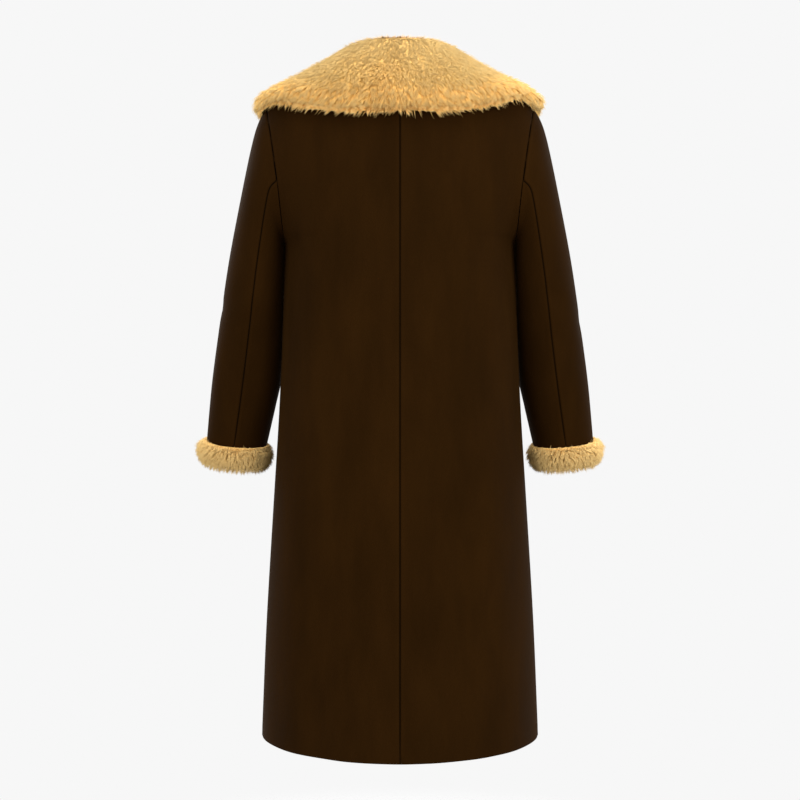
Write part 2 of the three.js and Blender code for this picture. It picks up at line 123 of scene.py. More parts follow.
# %% Floor
FLOOR_HEIGHT = -1.45
FLOOR_RADIUS = 0.9
bm = bmesh.new()
bmesh.ops.create_circle(bm, cap_ends=True, segments=96, radius=FLOOR_RADIUS)
bmesh.ops.translate(bm, verts=bm.verts, vec=(0, 0, FLOOR_HEIGHT))
floor_mesh = bpy.data.meshes.new("floor")
bm.to_mesh(floor_mesh)
bm.free()
floor = bpy.data.objects.new("floor", floor_mesh)
bpy.context.collection.objects.link(floor)
print("floor:", 2 * FLOOR_RADIUS, "m across, at", FLOOR_HEIGHT, "m")

# %% [markdown]
# ## Helpers for materials
#
# Every finish here is made of nodes that follow the place in space, so nothing stretches or repeats. A few
# small functions keep the node code short: they add a node with its settings and links, shape a value with
# a ramp, mix two colours, and add the kinds of node that are used most.

# %% Node helpers
def fill(tree, node, inputs):
    """Sets each input of a node to its value, or links it to its socket."""
    for key, value in inputs.items():
        if isinstance(value, bpy.types.NodeSocket):
            tree.links.new(value, node.inputs[key])
        else:
            node.inputs[key].default_value = value


def add_node(tree, kind, inputs=None, **settings):
    """A new node of the given kind, with its settings and its inputs."""
    node = tree.nodes.new(kind)
    for key, value in settings.items():
        setattr(node, key, value)
    fill(tree, node, inputs or {})
    return node


def rgba(colour):
    """A colour with full alpha. A socket stays as it is."""
    return (*colour, 1) if isinstance(colour, tuple) else colour


def ramp(tree, value, stops):
    """Turns a value into a colour or a grey, by stops of (place, colour)."""
    node = add_node(tree, "ShaderNodeValToRGB", {"Fac": value})
    elements = node.color_ramp.elements
    while len(elements) < len(stops):
        elements.new(0.5)
    for element, (place, colour) in zip(elements, stops):
        element.position = place
        element.color = rgba(colour)
    return node.outputs["Color"]


def grey(level):
    return (level, level, level)


def mixed(tree, blend, factor, first, second):
    """Two colours mixed in one of the blend modes."""
    inputs = {0: factor, 6: rgba(first), 7: rgba(second)}
    return add_node(tree, "ShaderNodeMix", inputs, data_type="RGBA", blend_type=blend).outputs[2]


def noise_value(tree, place, scale, detail, roughness):
    inputs = {"Vector": place, "Scale": scale, "Detail": detail, "Roughness": roughness}
    return add_node(tree, "ShaderNodeTexNoise", inputs).outputs["Fac"]


def attribute_value(tree, name, output="Fac"):
    return add_node(tree, "ShaderNodeAttribute", attribute_name=name).outputs[output]


def vector_math(tree, operation, *inputs):
    node = add_node(tree, "ShaderNodeVectorMath", dict(enumerate(inputs)), operation=operation)
    return node.outputs["Value" if operation == "LENGTH" else "Vector"]


def bumped(tree, height, strength, distance, under=None):
    """A bump by a height, on top of another bump where one is given."""
    inputs = {"Strength": strength, "Distance": distance, "Height": height}
    if under is not None:
        inputs["Normal"] = under
    return add_node(tree, "ShaderNodeBump", inputs).outputs["Normal"]


def new_material(name):
    material = bpy.data.materials.new(name)
    material.use_nodes = True
    return material, material.node_tree, material.node_tree.nodes["Principled BSDF"]


def dress(objects, material):
    for obj in objects:
        obj.data.materials.clear()
        obj.data.materials.append(material)


# %% Floor finish
FADE_FROM, FADE_TO = 0.35, 0.88  # distances from the middle where the floor starts to fade, and is gone
floor_material, tree, shader = new_material("pale_floor")
place = add_node(tree, "ShaderNodeTexCoord").outputs["Object"]
radius = vector_math(tree, "LENGTH", vector_math(tree, "MULTIPLY", place, (1, 1, 0)))
fade = add_node(
    tree, "ShaderNodeMapRange",
    {"Value": radius, "From Min": FADE_FROM, "From Max": FADE_TO, "To Min": 1, "To Max": 0},
    interpolation_type="SMOOTHSTEP",
)
fill(tree, shader, {"Alpha": fade.outputs["Result"], "Base Color": (0.8, 0.8, 0.8, 1), "Roughness": 0.9})
dress([floor], floor_material)
print("floor fades out from", FADE_FROM, "to", FADE_TO, "m")

# %% [markdown]
# ## From a solid to a cloth panel
#
# Heavy wool coating is a wall of felted cloth 2.6 mm thick. The solids already have its form, but in flat
# facets a few centimetres wide. A copy of each is merged into four-sided faces, and a subdivision surface
# rounds them. A sculpted mesh or a cloth simulation could do the same, but the first can't be repeated and
# the second would lose the cut.
#
# A strip 4 mm wide is inset along the outer edge before the subdivision. It gives the seam rows of faces 1
# mm wide, so the turned edge can be a real groove in the mesh and not only a dark line.

# %% Read a solid
MERGE = 1e-5
JOIN_ANGLES = {"angle_face_threshold": math.radians(50), "angle_shape_threshold": math.radians(70)}
WOOL_PIECES = [
    "back_left", "back_right", "front_left", "front_right",
    "sleeve_left_upper", "sleeve_left_under", "sleeve_right_upper", "sleeve_right_under",
]
SEAM_STRIP = 0.004
SUBDIVISIONS = 2
RIM_ANGLE = math.radians(45)


def bmesh_of(node):
    """The solid's mesh, with its loose triangles merged and joined into four-sided faces."""
    bm = bmesh.new()
    bm.from_mesh(frame["nodes"][node].data)
    bmesh.ops.remove_doubles(bm, verts=bm.verts, dist=MERGE)
    bmesh.ops.join_triangles(bm, faces=bm.faces, **JOIN_ANGLES)
    bm.normal_update()
    return bm


def sides_of_wall(bm, sharp=RIM_ANGLE):
    """The two broad sides of a wall, the larger one first. Sharp edges part them from the narrow rim."""
    left = set(bm.faces)
    islands = []
    while left:
        stack = [left.pop()]
        island = set(stack)
        while stack:
            for edge in stack.pop().edges:
                if edge.calc_face_angle(0) > sharp:
                    continue
                for neighbour in edge.link_faces:
                    if neighbour in left:
                        left.remove(neighbour)
                        island.add(neighbour)
                        stack.append(neighbour)
        islands.append(island)
    islands.sort(key=lambda faces: sum(face.calc_area() for face in faces))
    return islands[-1], islands[-2]


bm = bmesh_of("back_left")
outer, inner = sides_of_wall(bm)
print("back_left:", len(bm.faces), "faces,", len(outer), "outside,", len(inner), "inside")
bm.free()

# %% [markdown]
# ## Which way is outward
#
# Folds and seam grooves are moves of the cloth's points, so each point needs to know which way is out of
# the coat. A mesh normal would do, but it differs a little between two pieces at their shared seam and
# would open it. A direction that follows from the place alone is the same on both sides: away from the
# middle of the body, or away from the line down the middle of a sleeve.

# %% Outward directions
SLEEVE_TOP = Vector((0.211, 0.0, -0.179))  # middle of the left armhole
SLEEVE_END = Vector((0.2815, -0.047, -0.6295))  # middle of the left sleeve's end
SLEEVE_LINE = np.array((SLEEVE_END - SLEEVE_TOP).normalized())
NO_LENGTH = 1e-9


def unit(vectors):
    return vectors / np.maximum(np.linalg.norm(vectors, axis=1, keepdims=True), NO_LENGTH)


def mirror_of(points):
    """What turns a point of the right sleeve into one of the left, or back."""
    hand = np.sign(points[:, :1])
    return np.hstack((hand, np.ones_like(hand), np.ones_like(hand)))


def outward_of_body(points):
    return unit(points * np.array((1, 1, 0)))


def outward_of_sleeve(points):
    """Away from the sleeve's middle line. The right sleeve is the left one mirrored."""
    mirror = mirror_of(points)
    offset = points * mirror - np.array(SLEEVE_TOP)
    return unit(offset - (offset @ SLEEVE_LINE)[:, None] * SLEEVE_LINE) * mirror


def down_the_sleeve(points):
    """The direction from the shoulder to the wrist, for each point's own sleeve."""
    return SLEEVE_LINE * mirror_of(points)


def outward_of(name, points):
    return outward_of_sleeve(points) if name.startswith("sleeve") else outward_of_body(points)


print("sleeve line:", round((SLEEVE_END - SLEEVE_TOP).length, 3), "m long")

# %% Points and attributes of a mesh
def read_vectors(items, key):
    vectors = np.empty(len(items) * 3, np.float32)
    items.foreach_get(key, vectors)
    return vectors.reshape(-1, 3).astype(float)


def read_points(mesh):
    return read_vectors(mesh.vertices, "co")


def read_normals(mesh):
    return read_vectors(mesh.vertex_normals, "vector")


def write_points(mesh, points):
    mesh.vertices.foreach_set("co", points.astype(np.float32).ravel())
    mesh.update()


def write_attribute(mesh, name, values):
    attribute = mesh.attributes.get(name) or mesh.attributes.new(name, "FLOAT", "POINT")
    attribute.data.foreach_set("value", values.astype(np.float32))


def read_attribute(mesh, name):
    values = np.empty(len(mesh.vertices), np.float32)
    mesh.attributes[name].data.foreach_get("value", values)
    return values.astype(float)


def smoothstep(value, low, high):
    """0 up to the low value, 1 from the high one on, and a soft step between them."""
    share = np.clip((value - low) / (high - low), 0, 1)
    return share * share * (3 - 2 * share)


# %% Make the panels
def object_from(bm, name):
    mesh = bpy.data.meshes.new(name)
    bm.to_mesh(mesh)
    bm.free()
    obj = bpy.data.objects.new(name, mesh)
    bpy.context.collection.objects.link(obj)
    return obj


def subdivided(obj):
    """Applies a subdivision surface to the object's mesh."""
    modifier = obj.modifiers.new("Smooth", "SUBSURF")
    modifier.levels = modifier.render_levels = SUBDIVISIONS
    finer = bpy.data.meshes.new_from_object(obj.evaluated_get(bpy.context.evaluated_depsgraph_get()))
    obj.modifiers.remove(modifier)
    obj.data = finer
    finer.shade_smooth()
    return obj


def cloth_panel(node):
    """A finer copy of a wool solid, with crisp edges and a strip of narrow faces along its outer edge."""
    bm = bmesh_of(node)
    crease = bm.edges.layers.float.new("crease_edge")
    edge_layer = bm.verts.layers.float.new("on_edge")
    side_layer = bm.verts.layers.float.new("outside")
    outer, inner = sides_of_wall(bm)
    middle = np.array([face.calc_center_median() for face in outer])
    normals = np.array([face.normal for face in outer])
    if (normals * outward_of(node, middle)).sum() < 0:
        outer, inner = inner, outer
    strip = bmesh.ops.inset_region(bm, faces=list(outer), thickness=SEAM_STRIP, use_boundary=True)["faces"]
    outer.update(strip)
    bm.normal_update()
    for edge in bm.edges:
        sides = [(face in outer) - (face in inner) for face in edge.link_faces]
        corner = sides == [0, 0] and edge.calc_face_angle(0) > RIM_ANGLE
        edge[crease] = corner or sides[0] != sides[1]
    for face in outer:
        for vert in face.verts:
            vert[side_layer] = 1
            vert[edge_layer] = any(edge[crease] for edge in vert.link_edges)
    return subdivided(object_from(bm, f"cloth_{node}"))


cloth = {node: cloth_panel(node) for node in WOOL_PIECES}
for node, obj in cloth.items():
    print(obj.name, len(obj.data.polygons), "faces")

# %% [markdown]
# ## Sleeves that rest against the body
#
# The sleeves of the solids hang just clear of the body, and the rounding of both leaves a slit of daylight
# under the arm. On a real coat the sleeve rests against the side. So the inner half of each sleeve is
# pushed in by a few millimetres, by a short table along its length. The cloth is also let down by a few
# millimetres at the wrist, so that it ends well inside the fur.

# %% Push the sleeves in
# height, and how far the inner side of the sleeve moves in there
ARM_REST = [
    (-0.630, 0.0000), (-0.600, 0.0008), (-0.565, 0.0024), (-0.530, 0.0056), (-0.490, 0.0048),
    (-0.430, 0.0038), (-0.360, 0.0032), (-0.310, 0.0026), (-0.290, 0.0018), (-0.272, 0.0000),
]
LET_DOWN = 0.006
WRIST = (0.560, 0.629)  # depths below the neck where the letting down starts, and is full
for node, obj in cloth.items():
    if node.startswith("sleeve"):
        points = read_points(obj.data)
        hand = np.sign(points[:, 0])
        inner = np.clip(-outward_of_sleeve(points)[:, 0] * hand, 0, 1)
        let_down = LET_DOWN * smoothstep(-points[:, 2], *WRIST)
        points[:, 0] -= hand * inner * np.interp(points[:, 2], *np.array(ARM_REST).T)
        points += let_down[:, None] * down_the_sleeve(points)
        write_points(obj.data, points)
print("sleeves pushed in by up to", max(move for _, move in ARM_REST) * 1000, "mm")

# %% [markdown]
# ## Seams and soft folds
#
# Two pieces that are sewn and pressed open meet in a fine groove, and the allowance under the cloth lifts
# it very slightly on both sides. The groove is moved into the mesh by the distance to the piece's own sewn
# edge. That distance is kept as an attribute, so the finish can paint shade into the groove and a painted
# highlight on the ridge beside it.
#
# Such heavy cloth hardly creases. It hangs in long shallow waves: from the armholes across the back, down
# the skirt, and across the bend of each elbow. Each wave is one row of a table, and no two rows are alike.

# %% Distances to the sewn edges
SEWN_REACH = 0.007  # an edge is sewn where another piece's edge is this near
SEAM_GAP = 0.0024  # and it is closed where the gap is no wider than this
SEAM_CLOSED = 0.62  # share of the gap that each edge moves, a little over half, so no light shows
GROOVE = {"depth": 0.0011, "width": 0.0011}
RIDGE = {"height": 0.00035, "place": 0.0045, "width": 0.0026}
FREE_EDGE_ROUND = 0.0005
WHOLLY = 0.99  # a share above this is a whole one


def tree_of(points):
    tree = kdtree.KDTree(len(points))
    for index, point in enumerate(points):
        tree.insert(point, index)
    tree.balance()
    return tree


def distances(points, tree):
    return np.array([tree.find(point)[2] for point in points])


def is_on_edge(mesh):
    return read_attribute(mesh, "on_edge") > WHOLLY


def other_edges(node):
    """The edges of all pieces but one, to search in."""
    return tree_of(np.vstack([edges[other] for other in cloth if other != node]))


edges = {node: read_points(obj.data)[is_on_edge(obj.data)] for node, obj in cloth.items()}
sewn, free = {}, {}
for node in cloth:
    is_sewn = distances(edges[node], other_edges(node)) < SEWN_REACH
    sewn[node], free[node] = edges[node][is_sewn], edges[node][~is_sewn]
    print(node, len(edges[node]), "edge points,", len(sewn[node]), "of them sewn")

# %% Folds
# for each group of pieces and side that it is seen from: the upper and lower end as (across, height), width
# and depth, in metres. across is x on the back and front and y on the sides. A trough's depth is negative.
FOLDS = {
    ("body", "back"): [
        ((0.170, -0.205), (0.100, -0.500), 0.022, -0.0020),
        ((-0.175, -0.190), (-0.112, -0.570), 0.020, -0.0024),
        ((0.148, -0.250), (0.128, -0.455), 0.015, 0.0012),
        ((-0.140, -0.300), (-0.150, -0.520), 0.016, 0.0014),
        ((0.062, -0.330), (0.044, -0.880), 0.032, 0.0013),
        ((-0.052, -0.420), (-0.070, -1.000), 0.030, -0.0013),
        ((0.165, -0.620), (0.188, -1.137), 0.030, 0.0026),
        ((-0.152, -0.560), (-0.176, -1.137), 0.028, 0.0028),
        ((0.105, -0.760), (0.118, -1.137), 0.026, -0.0022),
        ((-0.092, -0.700), (-0.104, -1.137), 0.024, -0.0018),
    ],
    ("body", "front"): [
        ((0.165, -0.215), (0.120, -0.480), 0.020, -0.0022),
        ((-0.170, -0.225), (-0.110, -0.540), 0.022, -0.0020),
        ((0.070, -0.420), (0.092, -0.980), 0.028, 0.0016),
        ((-0.084, -0.520), (-0.074, -1.060), 0.030, 0.0014),
        ((0.155, -0.600), (0.182, -1.137), 0.028, 0.0026),
        ((-0.150, -0.640), (-0.170, -1.137), 0.030, 0.0024),
    ],
    ("body", "side"): [
        ((0.020, -0.560), (0.034, -1.120), 0.026, 0.0018),
        ((-0.050, -0.500), (-0.062, -1.137), 0.030, -0.0018),
    ],
    ("left", "back"): [
        ((0.236, -0.352), (0.292, -0.402), 0.012, -0.0019),
        ((0.228, -0.392), (0.282, -0.452), 0.013, -0.0016),
        ((0.262, -0.160), (0.250, -0.320), 0.016, 0.0012),
        ((0.300, -0.440), (0.312, -0.610), 0.014, 0.0012),
    ],
    ("left", "front"): [
        ((0.226, -0.330), (0.290, -0.372), 0.011, -0.0024),
        ((0.222, -0.372), (0.298, -0.430), 0.013, -0.0026),
        ((0.236, -0.428), (0.290, -0.486), 0.011, -0.0017),
    ],
    ("left", "side"): [
        ((-0.060, -0.380), (0.010, -0.425), 0.013, -0.0014),
    ],
    ("right", "back"): [
        ((-0.232, -0.372), (-0.290, -0.412), 0.013, -0.0021),
        ((-0.240, -0.440), (-0.300, -0.492), 0.012, -0.0014),
        ((-0.258, -0.150), (-0.256, -0.330), 0.018, 0.0013),
        ((-0.290, -0.460), (-0.306, -0.612), 0.013, 0.0010),
    ],
    ("right", "front"): [
        ((-0.224, -0.344), (-0.286, -0.392), 0.012, -0.0026),
        ((-0.228, -0.398), (-0.296, -0.440), 0.011, -0.0019),
        ((-0.240, -0.452), (-0.292, -0.500), 0.013, -0.0020),
    ],
    ("right", "side"): [
        ((-0.056, -0.400), (0.004, -0.452), 0.014, -0.0012),
    ],
}
print("folds:", sum(len(rows) for rows in FOLDS.values()))

# %% How a fold moves the cloth
FACING = {"back": (0, 1, 0), "front": (0, -1, 0)}
HEM_HEIGHT = -1.137
WANDER = {"width": 0.35, "bends": 5, "phase": 40}  # a fold's line sways by this share of its width
FOLD_BEGINS = (0, 0.35)  # shares of its length over which a fold deepens
FOLD_ENDS = (0.55, 1)  # and over which it ends, unless it runs out at the hem
TURNED_AWAY = (0.15, 0.6)  # it fades out where the cloth turns away from the side it is seen from
ARMHOLE_CALM = (0.006, 0.045)  # folds fade in over this distance from the armhole's seam
SEAM_FAR = 0.05  # larger distances from the seam are kept as this


def fold_depth(points, outward, side, fold):
    """How far one fold moves each point outward."""
    start, end, width, depth = fold
    across = points[:, 1] if side == "side" else points[:, 0]
    turned = np.abs(outward[:, 0]) if side == "side" else outward @ np.array(FACING[side], float)
    place = np.column_stack((across, points[:, 2]))
    start, end = np.array(start), np.array(end)
    line = end - start
    share = np.clip(((place - start) @ line) / (line @ line), 0, 1)
    wander = width * WANDER["width"] * np.sin(WANDER["bends"] * share + WANDER["phase"] * start[0])
    normal = np.array((line[1], -line[0])) / np.linalg.norm(line)
    offset = place - start - share[:, None] * line
    away = np.hypot(offset @ normal + wander, offset @ line / np.linalg.norm(line))
    to_hem = end[1] <= HEM_HEIGHT
    taper = smoothstep(share, *FOLD_BEGINS) * (1 if to_hem else 1 - smoothstep(share, *FOLD_ENDS))
    return depth * np.exp(-((away / width) ** 2)) * taper * smoothstep(turned, *TURNED_AWAY)


def group_of(node):
    if not node.startswith("sleeve"):
        return "body"
    return "left" if "_left_" in node else "right"


def closing_moves(node, points):
    """Moves that bring two sewn edges together in the middle of the small gap that parts the solids."""
    others = other_edges(node)
    moves = np.zeros_like(points)
    for index in np.flatnonzero(is_on_edge(cloth[node].data)):
        goal, _, distance = others.find(points[index])
        if distance < SEAM_GAP:
            moves[index] = SEAM_CLOSED * (np.array(goal) - points[index])
    return moves


# %% Press the seams and fold the cloth
# for each group, the edges of the pieces on the other side of the armholes
armholes = {}
for group in ("body", "left", "right"):
    beyond = [edges[node] for node in cloth if (group_of(node) == "body") != (group == "body")]
    armholes[group] = tree_of(np.vstack(beyond))
for node, obj in cloth.items():
    points = read_points(obj.data)
    outward = outward_of(node, points)
    points += closing_moves(node, points)
    from_seam = distances(points, tree_of(sewn[node]))
    from_edge = distances(points, tree_of(edges[node]))
    from_armhole = distances(points, armholes[group_of(node)])
    outside = read_attribute(obj.data, "outside") > 0.5
    folds = sum(
        fold_depth(points, outward, side, fold)
        for (group, side), rows in FOLDS.items() if group == group_of(node) for fold in rows
    )
    move = folds * smoothstep(from_armhole, *ARMHOLE_CALM)
    groove = -GROOVE["depth"] * np.exp(-((from_seam / GROOVE["width"]) ** 2))
    ridge = RIDGE["height"] * np.exp(-(((from_seam - RIDGE["place"]) / RIDGE["width"]) ** 2))
    rounding = -FREE_EDGE_ROUND * np.exp(-((from_edge / GROOVE["width"]) ** 2)) * (from_seam > SEWN_REACH)
    move = move + np.where(outside, groove + ridge + rounding, 0)
    write_points(obj.data, points + outward * move[:, None])
    write_attribute(obj.data, "seam_distance", np.minimum(np.where(outside, from_seam, 1), SEAM_FAR))
    print(node, "moved", round(move.min() * 1000, 1), "to", round(move.max() * 1000, 1), "mm")

# %% [markdown]
# ## The wool finish
#
# Brown wool coating is woven, then felted and brushed until the weave is gone. What is left is a dense nap
# that lies downward, so it is dull and slightly streaked, with a warm sheen where it is seen edge on. A
# bump of fine noise stretched downward is the nap. Two larger noises change the tone a little, because the
# nap never lies quite evenly. The seam attribute paints shade into the groove and a painted highlight on
# the ridge beside it.

# %% Wool
WOOL = (0.0167, 0.0064, 0.0011)
WOOL_DARK = (0.0137, 0.0052, 0.0008)
WOOL_LIGHT = (0.0201, 0.0078, 0.0014)
wool_material, tree, shader = new_material("brushed_wool")
place = add_node(tree, "ShaderNodeTexCoord").outputs["Object"]
streaks = add_node(tree, "ShaderNodeMapping", {"Vector": place, "Scale": (1, 1, 0.3)}).outputs["Vector"]
# each noise by its scale, detail and roughness
nap = noise_value(tree, streaks, 1500, 3, 0.65)
tufts = noise_value(tree, streaks, 420, 2, 0.5)
patches = noise_value(tree, streaks, 22, 3, 0.55)
waves = noise_value(tree, streaks, 6, 1, 0.5)
tone = ramp(tree, patches, ((0.3, WOOL_DARK), (0.5, WOOL), (0.72, WOOL_LIGHT)))
broad = ramp(tree, waves, ((0.3, grey(0.88)), (0.7, grey(1.0))))
fibres = ramp(tree, nap, ((0.3, grey(0.72)), (0.7, grey(1.0))))
colour = mixed(tree, "MULTIPLY", 1.0, tone, broad)
colour = mixed(tree, "MULTIPLY", 0.8, colour, fibres)
seam = attribute_value(tree, "seam_distance")
centimetres = add_node(tree, "ShaderNodeMath", {0: seam, 1: 100.0}, operation="MULTIPLY").outputs["Value"]
# painted shade in the seam's groove and a painted highlight on the ridge beside it, by the distance to the
# seam
seam_shade_and_highlight = ramp(
    tree, centimetres,
    ((0.0, grey(0.10)), (0.07, grey(0.26)), (0.14, grey(0.86)), (0.36, grey(1.0)), (0.9, grey(0.92))),
)
colour = mixed(tree, "MULTIPLY", 1.0, colour, seam_shade_and_highlight)
soft = bumped(tree, tufts, strength=0.35, distance=0.0006)
fine = bumped(tree, nap, strength=0.5, distance=0.0003, under=soft)
rough = ramp(tree, patches, ((0.3, grey(0.78)), (0.7, grey(0.92))))
fill(tree, shader, {
    "Base Color": colour, "Normal": fine, "Roughness": rough,
    "Specular IOR Level": 0.04, "Specular Tint": (0.9, 0.5, 0.2, 1),
    "Sheen Weight": 0.02, "Sheen Roughness": 0.45, "Sheen Tint": (0.60, 0.30, 0.08, 1),
})
dress(cloth.values(), wool_material)
print("wool nodes:", len(tree.nodes))

# %% [markdown]
# ## The fur's ground
#
# Pile fur is a knitted backing with a dense short undercoat and longer hairs that stand out of it and lean
# the way they were brushed. The solids reach as far as the tips, so the ground of the fur has to lie
# deeper. A copy of each fur solid is rounded and then drawn in where the pile stands on it. The collar's
# lower edge also rides up behind, because its hairs hang over it, and more over the right shoulder than
# over the left.
#
# Only the side that is open to the air grows fur. On the collar the sharp edges of its foot and its outer
# edge part that side from the backing. It is everything that shows, from the stand inside the neck, over
# the fold, to the outer edge. A cuff grows fur all round but where it faces the arm.

# %% Which way the pile lies
FUR_PIECES = ["collar", "cuff_left", "cuff_right"]
CUFF_FLARE = 0.1  # share by which a cuff's pile is brushed outward as well as down
MORE_TO_THE_SIDES = (1.25, 1, 0)
BRUSHED_OUT, BRUSHED_UP, TURNED_DOWN = 0.8, 0.6, 1.35
OVER_THE_FOLD = (-0.3, 0.4)  # how far the ground faces outward, while the pile turns from up to down
NEAR_THE_EDGE = (0.02, 0.05)  # distances from the outer edge, within which it always hangs down


def kind_of(node):
    return "cuff" if node.startswith("cuff") else "collar"


def rows_dot(first, second):
    return (first * second).sum(axis=1)


def brushed(node, points, normals, from_edge):
    """The way the pile leans, along the surface: out over the collar to its edge, and down round a cuff."""
    if kind_of(node) == "cuff":
        wish = down_the_sleeve(points) + CUFF_FLARE * outward_of_sleeve(points)
        return wish - rows_dot(wish, normals)[:, None] * normals
    away = unit(points * np.array(MORE_TO_THE_SIDES))
    over = smoothstep(rows_dot(normals, away), *OVER_THE_FOLD)
    fall = np.maximum(over, 1 - smoothstep(from_edge, *NEAR_THE_EDGE))
    wish = BRUSHED_OUT * away + np.outer(BRUSHED_UP - TURNED_DOWN * fall, (0, 0, 1))
    return unit(wish - rows_dot(wish, normals)[:, None] * normals)


# %% Moves that make room for the pile
COLLAR_DRAWN_IN = 0.25  # share of its thickness by which the collar's ground is drawn in
THICKEST = 0.021  # thickness counts up to this
CUFF_DRAWN_IN = 0.0105
CUFF_LOWERED = 0.0095  # at its upper end
CUFF_RAISED = 0.0045  # at its lower end
CUFF_FACING = (-0.2, 0.6)  # how far a place of the cuff faces outward, where it is drawn in
LUMPS = {"scale": 95, "height": 0.0008}
# across, height of the collar's fold and height of its lower edge behind
COLLAR_FALL = [
    (0.000, 0.040, -0.103), (0.100, 0.027, -0.103), (0.150, -0.002, -0.096), (0.200, -0.026, -0.091),
    (0.235, -0.044, -0.084), (0.250, -0.052, -0.076),
]
# across, and how far the collar's lower edge rides up behind
EDGE_LIFT = [
    (-0.250, 0.010), (-0.236, 0.011), (-0.220, 0.022), (-0.205, 0.027), (-0.190, 0.026), (-0.163, 0.020),
    (-0.140, 0.015), (-0.110, 0.012), (-0.065, 0.011), (0.000, 0.011), (0.065, 0.010), (0.100, 0.009),
    (0.130, 0.010), (0.164, 0.014), (0.198, 0.018), (0.215, 0.017), (0.236, 0.007), (0.250, 0.005),
]
LIFT_BEHIND = (-0.045, 0.015)  # the lift fades in between these depths
LIFT_BELOW = 1.1  # the lift grows as far as this share of the way from the fold to the lower edge
LIFT_INWARD = 0.2  # share of the lift by which the edge also moves in
SHOULDER_NARROWED = {"left": 0.003, "right": 0.008}
SHOULDER_ACROSS = (0.17, 0.245)  # the lobes are drawn in more and more between these places
SHOULDER_BELOW = (0.03, 0.075)  # and between these depths below the neck


def collar_moves(points):
    """Lifts the lower edge behind and draws the lobes over the shoulders in."""
    x, y, z = points.T
    across, fold, edge = np.array(COLLAR_FALL).T
    fold, edge = np.interp(np.abs(x), across, fold), np.interp(np.abs(x), across, edge)
    share = np.clip((fold - z) / (fold - edge), 0, LIFT_BELOW) * smoothstep(y, *LIFT_BEHIND)
    lift = np.interp(x, *np.array(EDGE_LIFT).T) * share
    narrowed = np.where(x > 0, SHOULDER_NARROWED["left"], -SHOULDER_NARROWED["right"])
    narrowed = narrowed * smoothstep(np.abs(x), *SHOULDER_ACROSS) * smoothstep(-z, *SHOULDER_BELOW)
    moves = np.outer(lift, (0, 0, 1)) - LIFT_INWARD * lift[:, None] * outward_of_body(points)
    return moves - np.outer(narrowed, (1, 0, 0))


def cuff_moves(points, normals):
    """Draws the cuff in towards the arm and both its ends towards its middle."""
    outward, down = outward_of_sleeve(points), down_the_sleeve(points)
    place = rows_dot(points, down)
    share = (place - place.min()) / (place.max() - place.min())
    inward = CUFF_DRAWN_IN * smoothstep(rows_dot(normals, outward), *CUFF_FACING)
    return -inward[:, None] * outward + (CUFF_LOWERED * (1 - share) - CUFF_RAISED * share)[:, None] * down


# %% Ground of the fur
FUR_RIM_ANGLE = math.radians(60)
INSIDE_OF_CUFF = -0.35  # how far a cuff's surface may face the arm and still grow fur
NECKLINE_REACH = 0.022  # the collar's foot lies this close to the edge of the cloth that it is sewn to
RAY_START = 0.0006  # a ray starts this far under the surface, so that it doesn't meet it at once
RAY_LENGTH = 0.06
EDGE_FAR = 0.2  # larger distances from the outer edge are kept as this


def outer_edge(obj, points, is_open):
    """Points on the line where the fur side ends, apart from the foot that is sewn to the neckline."""
    ends = np.array([edge.vertices[:] for edge in obj.data.edges])
    crossing = ends[is_open[ends[:, 0]] != is_open[ends[:, 1]]]
    rim = np.unique(np.where(is_open[crossing[:, 0]] > 0, crossing[:, 0], crossing[:, 1]))
    return rim[distances(points[rim], tree_of(np.vstack(list(free.values())))) > NECKLINE_REACH]


def thickness_at(obj, points, normals, chosen):
    """How thick the solid is under each chosen point."""
    own = BVHTree.FromPolygons([Vector(p) for p in points], [face.vertices[:] for face in obj.data.polygons])
    depth = np.zeros(len(points))
    for index in np.flatnonzero(chosen):
        start = Vector(points[index] - RAY_START * normals[index])
        distance = own.ray_cast(start, Vector(-normals[index]), RAY_LENGTH)[3]
        depth[index] = min(distance or 0, THICKEST)
    return depth


def fur_ground(node):
    bm = bmesh_of(node)
    pile_layer = bm.verts.layers.float.new("pile")
    if kind_of(node) == "collar":
        for face in sides_of_wall(bm, FUR_RIM_ANGLE)[0]:
            for vert in face.verts:
                vert[pile_layer] = 1
    obj = subdivided(object_from(bm, f"ground_{node}"))
    points = read_points(obj.data)
    normals = read_normals(obj.data)
    lumps = np.array([noise.noise(Vector(point) * LUMPS["scale"]) for point in points])
    if kind_of(node) == "cuff":
        is_open = (rows_dot(normals, outward_of_sleeve(points)) > INSIDE_OF_CUFF).astype(float)
        moves = cuff_moves(points, normals)
        from_edge = np.ones(len(points))
    else:
        is_open = (read_attribute(obj.data, "pile") > 0.5).astype(float)
        depth = thickness_at(obj, points, normals, is_open)
        edge = outer_edge(obj, points, is_open)
        moves = collar_moves(points) - COLLAR_DRAWN_IN * depth[:, None] * normals
        from_edge = distances(points + moves, tree_of((points + moves)[edge]))
        print("collar's outer edge:", len(edge), "points, thickest", round(depth.max() * 1000, 1), "mm")
    moves += (LUMPS["height"] * lumps * is_open)[:, None] * normals
    write_points(obj.data, points + moves)
    write_attribute(obj.data, "pile", is_open)
    write_attribute(obj.data, "from_edge", np.minimum(from_edge, EDGE_FAR))
    print(node, "ground:", len(points), "points,", round(is_open.mean(), 2), "of them open")
    return obj


ground = {node: fur_ground(node) for node in FUR_PIECES}

